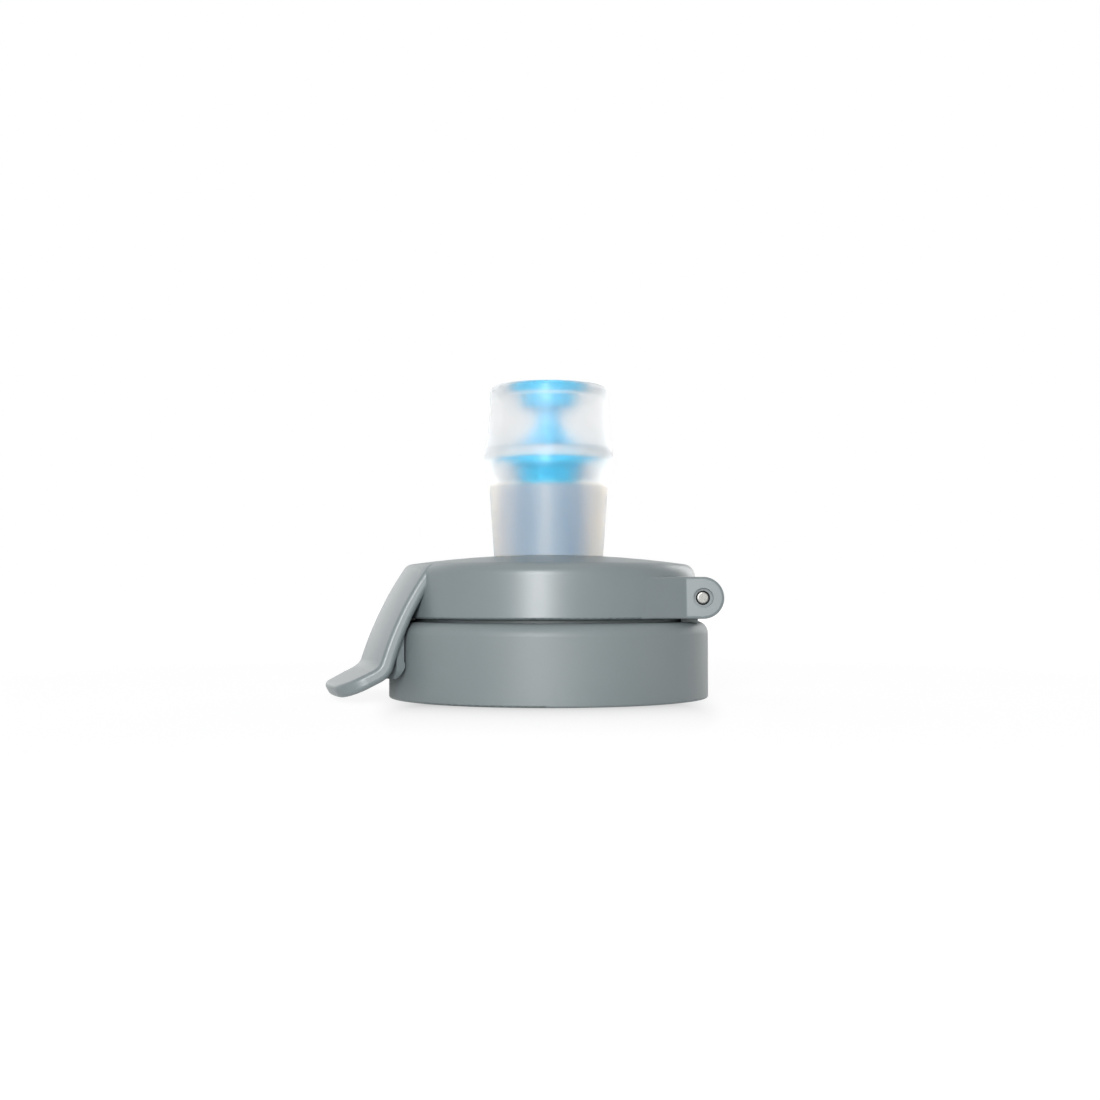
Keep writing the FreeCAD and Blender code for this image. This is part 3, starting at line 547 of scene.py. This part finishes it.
uneven = add(
    tree,
    "ShaderNodeMapRange",
    {"Value": swirl.outputs["Fac"], "To Min": SHEATH_UNEVEN[0], "To Max": SHEATH_UNEVEN[1]},
)
flat_place = add(tree, "ShaderNodeVectorMath", {0: place, 1: (1.0, 1.0, 0.0)}, operation="MULTIPLY")
radius = add(tree, "ShaderNodeVectorMath", {0: flat_place.outputs[0]}, operation="LENGTH")
skin = add(
    tree,
    "ShaderNodeMapRange",
    {
        "Value": radius.outputs["Value"],
        "From Min": INNER_RADIUS,
        "From Max": OUTER_RADIUS,
        "To Min": INNER_MILK,
    },
)
skin_share = add(tree, "ShaderNodeMath", {0: skin.outputs[0], 1: uneven.outputs[0]}, operation="MULTIPLY")
share = by_height([row[1] for row in SHEATH_MILK_AND_PAINTED_HIGHLIGHT])
scattered = add(
    tree, "ShaderNodeVectorMath", {0: share, "Scale": skin_share.outputs[0]}, operation="SCALE"
)
passed = add(
    tree, "ShaderNodeVectorMath", {0: (1.0, 1.0, 1.0), 1: scattered.outputs[0]}, operation="SUBTRACT"
)
# The shader tints by the root of its colour at each face
passed_twice = add(
    tree, "ShaderNodeVectorMath", {0: passed.outputs[0], 1: passed.outputs[0]}, operation="MULTIPLY"
)
milk_and_highlight_colour = add(
    tree,
    "ShaderNodeVectorMath",
    {0: scattered.outputs[0], 1: by_height([row[2] for row in SHEATH_MILK_AND_PAINTED_HIGHLIGHT])},
    operation="MULTIPLY",
)
satin = add(
    tree,
    "ShaderNodeMapRange",
    {"Value": pores.outputs["Fac"], "To Min": SHEATH_ROUGH[0], "To Max": SHEATH_ROUGH[1]},
)
dimple = add(
    tree,
    "ShaderNodeBump",
    {"Height": pores.outputs["Fac"], "Strength": 1.0, "Distance": SHEATH_SKIN_DEPTH},
)
clear = add(
    tree,
    "ShaderNodeBsdfPrincipled",
    {
        "Base Color": passed_twice.outputs[0],
        "Roughness": satin.outputs[0],
        "Normal": dimple.outputs[0],
        "IOR": SILICONE_IOR,
        "Transmission Weight": 1.0,
    },
)
# Diffuse milk, which also carries the painted highlight band over the bulge
milk_and_painted_highlight = add(tree, "ShaderNodeBsdfDiffuse", {"Color": milk_and_highlight_colour.outputs[0], "Normal": dimple.outputs[0]})
silicone = add(tree, "ShaderNodeAddShader", {0: clear.outputs[0], 1: milk_and_painted_highlight.outputs[0]})
# Lamps shine straight through, because a path through bent and rough faces rarely finds them
lamp_through = add(tree, "ShaderNodeBsdfTransparent", {"Color": linear(LAMP_TINT)})
path = add(tree, "ShaderNodeLightPath")
lit = add(
    tree,
    "ShaderNodeMixShader",
    {0: path.outputs["Is Shadow Ray"], 1: silicone.outputs[0], 2: lamp_through.outputs[0]},
)
add(tree, "ShaderNodeOutputMaterial", {"Surface": lit.outputs[0]})

turned_tree, given = new_shape_tree("turned_shape", Segments="NodeSocketInt", Spine="NodeSocketFloat")
corner = add(turned_tree, "GeometryNodeInputPosition")
corner_parts = add(turned_tree, "ShaderNodeSeparateXYZ", {0: corner.outputs[0]})
out_from_spine = add(
    turned_tree, "ShaderNodeMath", {0: corner_parts.outputs["X"], 1: given["Spine"]}, operation="SUBTRACT"
)
down = add(turned_tree, "ShaderNodeMath", {0: corner_parts.outputs["Z"], 1: -1.0}, operation="MULTIPLY")
laid = add(turned_tree, "ShaderNodeCombineXYZ", {"X": out_from_spine.outputs[0], "Y": down.outputs[0]})
flat_outline = add(
    turned_tree, "GeometryNodeSetPosition", {"Geometry": given["Outline"], "Position": laid.outputs[0]}
)
section = add(turned_tree, "GeometryNodeMeshToCurve", {"Mesh": flat_outline.outputs[0]})
corner_round = add(turned_tree, "GeometryNodeInputNamedAttribute", {"Name": "round"}, data_type="FLOAT")
rounded = add(
    turned_tree,
    "GeometryNodeFilletCurve",
    {
        "Curve": section.outputs[0],
        "Count": ROUND_STEPS,
        "Radius": corner_round.outputs["Attribute"],
        "Limit Radius": True,
    },
    mode="POLY",
)
spine = add(
    turned_tree,
    "GeometryNodeCurvePrimitiveCircle",
    {"Resolution": given["Segments"], "Radius": given["Spine"]},
)
turned = add(
    turned_tree,
    "GeometryNodeCurveToMesh",
    {"Curve": spine.outputs[0], "Profile Curve": rounded.outputs[0]},
)
bend_angle = add(turned_tree, "GeometryNodeInputMeshEdgeAngle")
is_crisp = add(
    turned_tree,
    "FunctionNodeCompare",
    {0: bend_angle.outputs["Unsigned Angle"], 1: CRISP_ANGLE},
    data_type="FLOAT",
    operation="GREATER_THAN",
)
crisp = add(
    turned_tree,
    "GeometryNodeSetShadeSmooth",
    {"Geometry": turned.outputs[0], "Selection": is_crisp.outputs[0], "Shade Smooth": False},
    domain="EDGE",
)
end_shape_tree(turned_tree, crisp.outputs[0], sheath_silicone)
sheath_outline = outline_mesh(
    "sheath_outline", [(r * MM, z * MM, bend * MM) for r, z, bend in SHEATH_CORNERS]
)
sheath = shape_from(turned_tree, "silicone_sheath", sheath_outline, Segments=SHEATH_STEPS, Spine=SPINE)
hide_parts("bite_sheath")
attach(sheath, "lid")

# Studio: a white table under a white surround, as for a shop picture. A tall soft lamp stands just left
# of the camera, a wide soft one hangs above, and two light the cap's edges from behind.
TABLE_SIZE = 4.0
TABLE_WHITE = "#F4F4F4"
TABLE_SHINE = 0.1
PAPER_FIBRE = 1.1 * MM
PAPER_ROUGH = (0.85, 1.0)
# The table as it is seen: mostly glow, so that it stays white, and for the rest paper, for the shadows.
# With distance the paper's share fades out, so that the table runs into the backdrop.
TABLE_GLOW = 0.8
TABLE_STRENGTH = 1.13
FADE_FROM = 0.1
FADE_TO = 0.6
# Painted shadow before the cap: the table's glow is darkened within an oval around it
PAINTED_SHADOW_DARK = 0.1
PAINTED_SHADOW_REACH = 42.0 * MM
PAINTED_SHADOW_SAMPLES = 16
SHADE_HALF_WIDTH = 25.0 * MM
SHADE_HALF_LENGTH = 90.0 * MM
SHADE_CORE = 0.4
PAINTED_SHADOW_AIM = (0.0, 0.98, 0.2)
SURROUND_DIFFUSE = 0.1
WHITE = (1.0, 1.0, 1.0, 1.0)


def seen_share(tree):
    """One where the camera sees a surface, directly, mirrored or through glass, and else nought."""
    path = add(tree, "ShaderNodeLightPath")
    direct = add(
        tree,
        "ShaderNodeMath",
        {0: path.outputs["Is Camera Ray"], 1: path.outputs["Is Glossy Ray"]},
        operation="MAXIMUM",
    )
    through = path.outputs["Is Transmission Ray"]
    return add(tree, "ShaderNodeMath", {0: direct.outputs[0], 1: through}, operation="MAXIMUM").outputs[0]


white_table, tree = new_material("white_paper_table")
seen = seen_share(tree)
place = add(tree, "ShaderNodeTexCoord").outputs["Object"]
fibre = add(tree, "ShaderNodeTexNoise", {"Vector": place, "Scale": 1 / PAPER_FIBRE, "Detail": 2.0})
paper_rough = add(
    tree,
    "ShaderNodeMapRange",
    {"Value": fibre.outputs["Fac"], "To Min": PAPER_ROUGH[0], "To Max": PAPER_ROUGH[1]},
)
paper = add(
    tree,
    "ShaderNodeBsdfPrincipled",
    {
        "Base Color": linear(TABLE_WHITE),
        "Roughness": paper_rough.outputs[0],
        "Specular IOR Level": TABLE_SHINE,
    },
)
# Painted shadow: the glow is darkened where the cap closes off the table towards the back, inside the oval
painted_shadow_openness = add(
    tree,
    "ShaderNodeAmbientOcclusion",
    {"Distance": PAINTED_SHADOW_REACH, "Normal": PAINTED_SHADOW_AIM},
    samples=PAINTED_SHADOW_SAMPLES,
)
shade_place = add(
    tree,
    "ShaderNodeVectorMath",
    {0: place, 1: (1 / SHADE_HALF_WIDTH, 1 / SHADE_HALF_LENGTH, 0.0)},
    operation="MULTIPLY",
)
shade_edge = add(tree, "ShaderNodeVectorMath", {0: shade_place.outputs[0]}, operation="LENGTH")
beyond_painted_shadow_oval = add(
    tree,
    "ShaderNodeMapRange",
    {"Value": shade_edge.outputs["Value"], "From Min": SHADE_CORE},
    interpolation_type="SMOOTHSTEP",
)
clear_of_painted_shadow = add(
    tree, "ShaderNodeMath", {0: painted_shadow_openness.outputs["AO"], 1: beyond_painted_shadow_oval.outputs[0]}, operation="MAXIMUM"
)
# The glow's strength, with the painted shadow in it
glow_under_painted_shadow = add(
    tree,
    "ShaderNodeMapRange",
    {"Value": clear_of_painted_shadow.outputs[0], "To Min": PAINTED_SHADOW_DARK, "To Max": TABLE_STRENGTH},
)
glow = add(tree, "ShaderNodeEmission", {"Color": WHITE, "Strength": glow_under_painted_shadow.outputs[0]})
distance = add(tree, "ShaderNodeVectorMath", {0: place}, operation="LENGTH")
fading = add(
    tree,
    "ShaderNodeMapRange",
    {
        "Value": distance.outputs["Value"],
        "From Min": FADE_FROM,
        "From Max": FADE_TO,
        "To Min": TABLE_GLOW,
    },
)
glow_share = add(tree, "ShaderNodeMath", {0: seen, 1: fading.outputs[0]}, operation="MULTIPLY")
table_surface = add(
    tree, "ShaderNodeMixShader", {0: glow_share.outputs[0], 1: paper.outputs[0], 2: glow.outputs[0]}
)
add(tree, "ShaderNodeOutputMaterial", {"Surface": table_surface.outputs[0]})

half = TABLE_SIZE / 2
table_mesh = bpy.data.meshes.new("table")
table_mesh.from_pydata(
    [(-half, -half, 0.0), (half, -half, 0.0), (half, half, 0.0), (-half, half, 0.0)], [], [(0, 1, 2, 3)]
)
table_mesh.materials.append(white_table)
table = bpy.data.objects.new("table", table_mesh)
bpy.context.scene.collection.objects.link(table)

world = bpy.data.worlds.new("white_surround")
world.use_nodes = True
world.node_tree.nodes.clear()
tree = world.node_tree
level = add(
    tree, "ShaderNodeMapRange", {"Value": seen_share(tree), "To Min": SURROUND_DIFFUSE, "To Max": 1.0}
)
sky = add(tree, "ShaderNodeBackground", {"Color": WHITE, "Strength": level.outputs[0]})
add(tree, "ShaderNodeOutputWorld", {"Surface": sky.outputs[0]})
bpy.context.scene.world = world


def soft_lamp(name, place, width, height, watts):
    """A rectangular soft lamp that faces the cap's middle and isn't seen itself."""
    lamp = bpy.data.lights.new(name, "AREA")
    lamp.shape = "RECTANGLE"
    lamp.size, lamp.size_y, lamp.energy = width, height, watts
    stand = bpy.data.objects.new(name, lamp)
    stand.location = place
    offset = [a - p for a, p in zip(CAP_MIDDLE, place)]
    stand.rotation_euler = (
        math.acos(-offset[2] / math.dist(place, CAP_MIDDLE)),
        0.0,
        math.atan2(-offset[0], offset[1]),
    )
    stand.visible_camera = False
    stand.visible_transmission = False
    bpy.context.scene.collection.objects.link(stand)


CAP_MIDDLE = (0.0, 0.0, 0.018)
soft_lamp("front_lamp", place=(-0.085, -0.6, 0.16), width=0.16, height=0.34, watts=2.85)
soft_lamp("top_lamp", place=(0.0, 0.05, 0.8), width=0.9, height=0.9, watts=0.7)
soft_lamp("back_left_lamp", place=(-0.45, 0.5, 0.3), width=0.6, height=0.5, watts=0.9)
soft_lamp("back_right_lamp", place=(0.45, 0.6, 0.2), width=0.3, height=0.5, watts=1.3)

# Camera: level with the hinge, a forearm's length in front, as in the picture of the real cap.
CAMERA_PLACE = (0.0, -225.6 * MM, 15.32 * MM)
CAMERA_TILT_UP = math.radians(1.61)
CAMERA_TURN = math.radians(-0.053)
FOCAL_PIXELS = 1519.0
PICTURE_PIXELS = 1100.0
SENSOR = 36.0

view_camera = bpy.data.cameras.new("camera")
view_camera.sensor_width = SENSOR
view_camera.lens = FOCAL_PIXELS / PICTURE_PIXELS * SENSOR
view_camera.clip_start = 0.01
camera = bpy.data.objects.new("camera", view_camera)
camera.location = CAMERA_PLACE
camera.rotation_euler = (math.radians(90) + CAMERA_TILT_UP, 0.0, CAMERA_TURN)
bpy.context.scene.collection.objects.link(camera)
bpy.context.scene.camera = camera
bpy.context.scene.view_settings.view_transform = "Standard"
